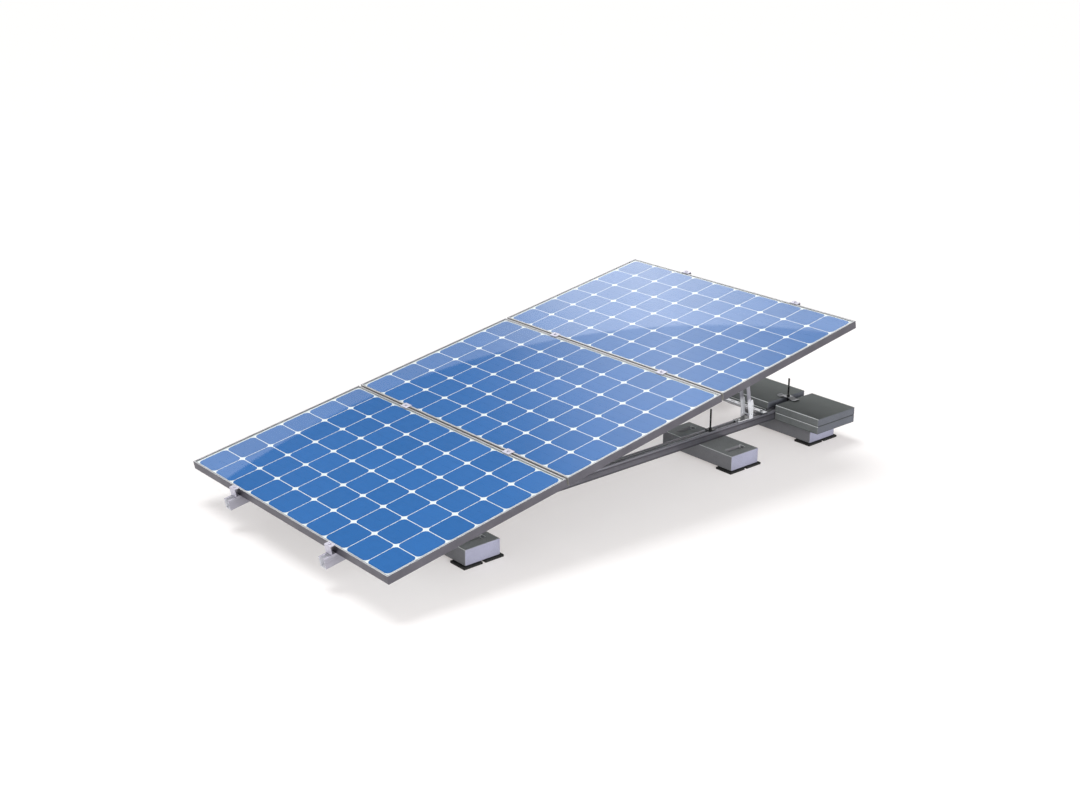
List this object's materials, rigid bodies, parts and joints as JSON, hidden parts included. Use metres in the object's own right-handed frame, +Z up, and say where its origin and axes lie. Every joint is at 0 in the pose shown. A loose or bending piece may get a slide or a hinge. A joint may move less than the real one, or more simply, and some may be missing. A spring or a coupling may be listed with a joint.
{
  "type": "solar ballast mount",
  "caption": "Ballasted flat-roof solar mount: framed modules clamped to sloping rails over base rails, held down by blocks on pads and stacked slabs.",
  "frame": {"origin": "on the ground, below the middle of the part's box", "axes": "+X along the low edge to the right, +Y level towards the high edge, +Z up"},
  "size_m": [1.65, 3.1688, 0.7261],
  "materials": {
    "frame_aluminium": "satin anodised",
    "module_glass": "polished",
    "cell_blue": "blue coated silicon",
    "white_backsheet": "matt",
    "black_plastic": "matt",
    "rail_aluminium": "mill finish, weathered",
    "clamp_aluminium": "satin",
    "bright_steel": "bright zinc",
    "black_steel": "blackened thread",
    "block_grey": "rough cast",
    "slab_concrete": "rough cast"
  },
  "bodies": {
    "root": {"backsheet_front": "white_backsheet", "backsheet_middle": "white_backsheet", "backsheet_rear": "white_backsheet", "ballast_block_front_left": "block_grey", "ballast_block_front_right": "block_grey", "ballast_block_middle_left": "block_grey", "ballast_block_middle_right": "block_grey", "ballast_block_rear_left": "block_grey", "ballast_block_rear_right": "block_grey", "base_rail_left": "rail_aluminium", "base_rail_right": "rail_aluminium", "cells_front": "cell_blue", "cells_middle": "cell_blue", "cells_rear": "cell_blue", "cross_brace": "bright_steel", "end_clamp_high_left": "clamp_aluminium", "end_clamp_high_right": "clamp_aluminium", "end_clamp_low_left": "clamp_aluminium", "end_clamp_low_right": "clamp_aluminium", "foot_bracket_left": "bright_steel", "foot_bracket_right": "bright_steel", "front_bracket_left": "bright_steel", "front_bracket_right": "bright_steel", "glass_front": "module_glass", "glass_middle": "module_glass", "glass_rear": "module_glass", "head_bracket_left": "bright_steel", "head_bracket_right": "bright_steel", "junction_box_front": "black_plastic", "junction_box_middle": "black_plastic", "junction_box_rear": "black_plastic", "mid_clamp_1_left": "clamp_aluminium", "mid_clamp_1_right": "clamp_aluminium", "mid_clamp_2_left": "clamp_aluminium", "mid_clamp_2_right": "clamp_aluminium", "module_frame_front": "frame_aluminium", "module_frame_middle": "frame_aluminium", "module_frame_rear": "frame_aluminium", "rear_leg_left_inner": "bright_steel", "rear_leg_left_outer": "bright_steel", "rear_leg_right_inner": "bright_steel", "rear_leg_right_outer": "bright_steel", "rod_front_left": "black_steel", "rod_front_right": "black_steel", "rod_middle_left": "black_steel", "rod_middle_right": "black_steel", "rod_rear_left": "black_steel", "rod_rear_right": "black_steel", "slab_lower_left_inner": "slab_concrete", "slab_lower_left_outer": "slab_concrete", "slab_lower_right_inner": "slab_concrete", "slab_lower_right_outer": "slab_concrete", "slab_upper_left_inner": "slab_concrete", "slab_upper_left_outer": "slab_concrete", "slab_upper_right_inner": "slab_concrete", "slab_upper_right_outer": "slab_concrete", "slope_rail_left": "rail_aluminium", "slope_rail_right": "rail_aluminium", "wing_plate_left": "clamp_aluminium", "wing_plate_right": "clamp_aluminium"}
  },
  "joints": []
}
